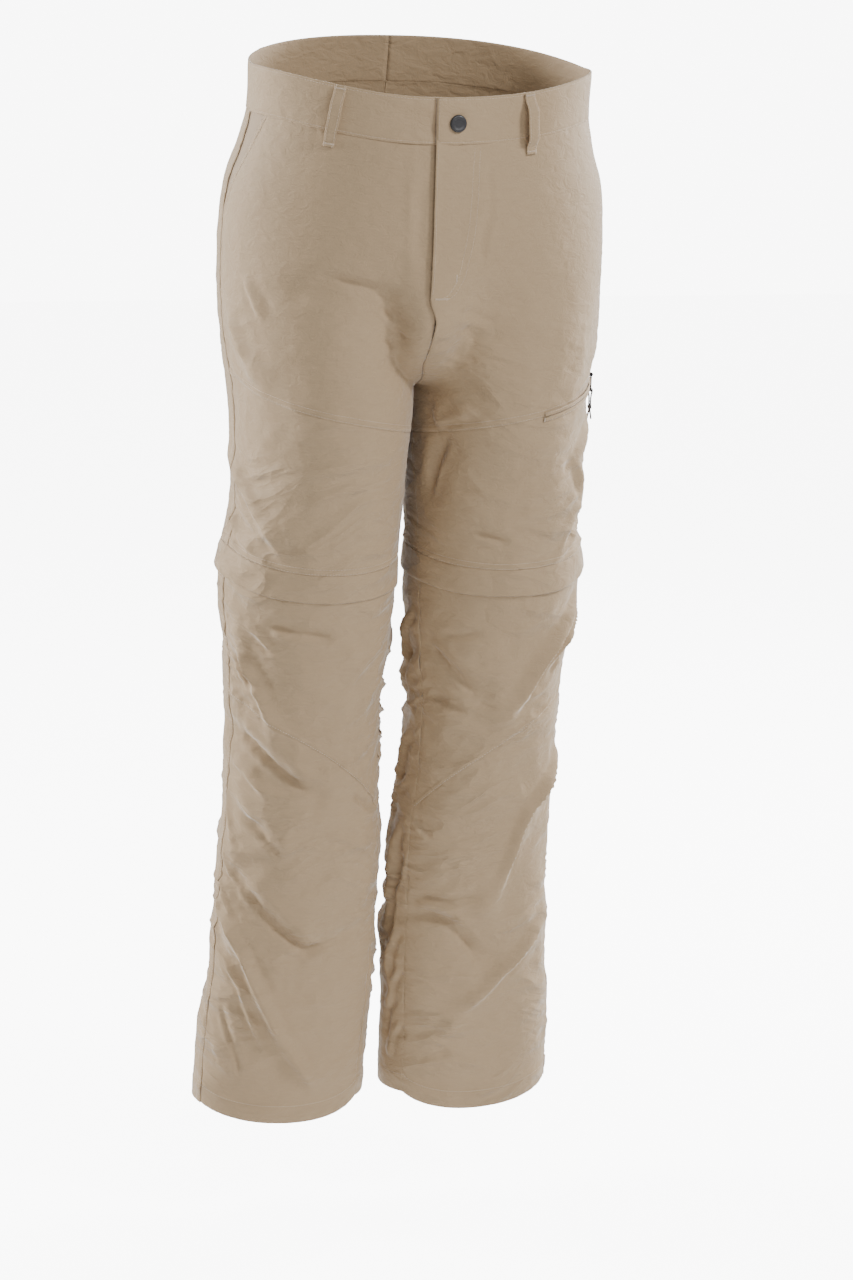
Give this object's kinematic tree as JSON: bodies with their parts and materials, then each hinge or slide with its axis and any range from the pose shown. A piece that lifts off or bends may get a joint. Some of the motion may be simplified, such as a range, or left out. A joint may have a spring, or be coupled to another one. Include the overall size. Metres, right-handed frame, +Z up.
{
  "type": "outdoor trousers",
  "caption": "Outdoor trousers with zip-off legs, belt loops, a snap waistband and a corded zip pull, in the hollow form they take on a standing wearer.",
  "frame": {"origin": "middle of the waist opening, level with the top of the waistband at the side seams", "axes": "+Z up along the wearer's body, the front faces -Y, the wearer's left is +X"},
  "size_m": [0.3748, 0.2622, 1.0787],
  "materials": {
    "cloth": "matt woven nylon, khaki",
    "shaded_cloth": "matt woven nylon and zip tape, darker khaki",
    "snap": "satin grey lacquer",
    "slider": "satin black lacquer",
    "pull": "satin black",
    "cord": "braided dark grey cord"
  },
  "bodies": {
    "trousers": {"back_lower_left": "cloth", "back_lower_right": "cloth", "back_upper_left": "cloth", "back_upper_right": "cloth", "belt_loop_back_centre": "cloth", "belt_loop_back_left": "cloth", "belt_loop_back_right": "cloth", "belt_loop_front_left": "cloth", "belt_loop_front_right": "cloth", "front_upper_left": "cloth", "front_upper_right": "cloth", "knee_flap_left": "cloth", "knee_flap_right": "cloth", "knee_panel_left": "cloth", "knee_panel_right": "cloth", "knee_zip_left": "shaded_cloth", "knee_zip_right": "shaded_cloth", "pocket_facing_left": "shaded_cloth", "pocket_facing_right": "shaded_cloth", "shin_left": "cloth", "shin_right": "cloth", "snap_button": "snap", "thigh_front_left": "cloth", "thigh_front_right": "cloth", "thigh_zip": "shaded_cloth", "waistband_left": "cloth", "waistband_right": "cloth", "zip_slider": "slider"},
    "zip_pull": {"zip_pull": "pull", "pull_cord_loop": "cord", "pull_cord_knot": "cord", "pull_cord_end_front": "cord", "pull_cord_end_back": "cord"}
  },
  "joints": [
    {"name": "zip_pull_swing", "type": "hinge", "parent": "trousers", "child": "zip_pull", "pos_m": [0.18102, -0.01257, -0.29374], "axis": [-0.111, -0.9938, 0], "range_deg": [-3, 150]}
  ]
}
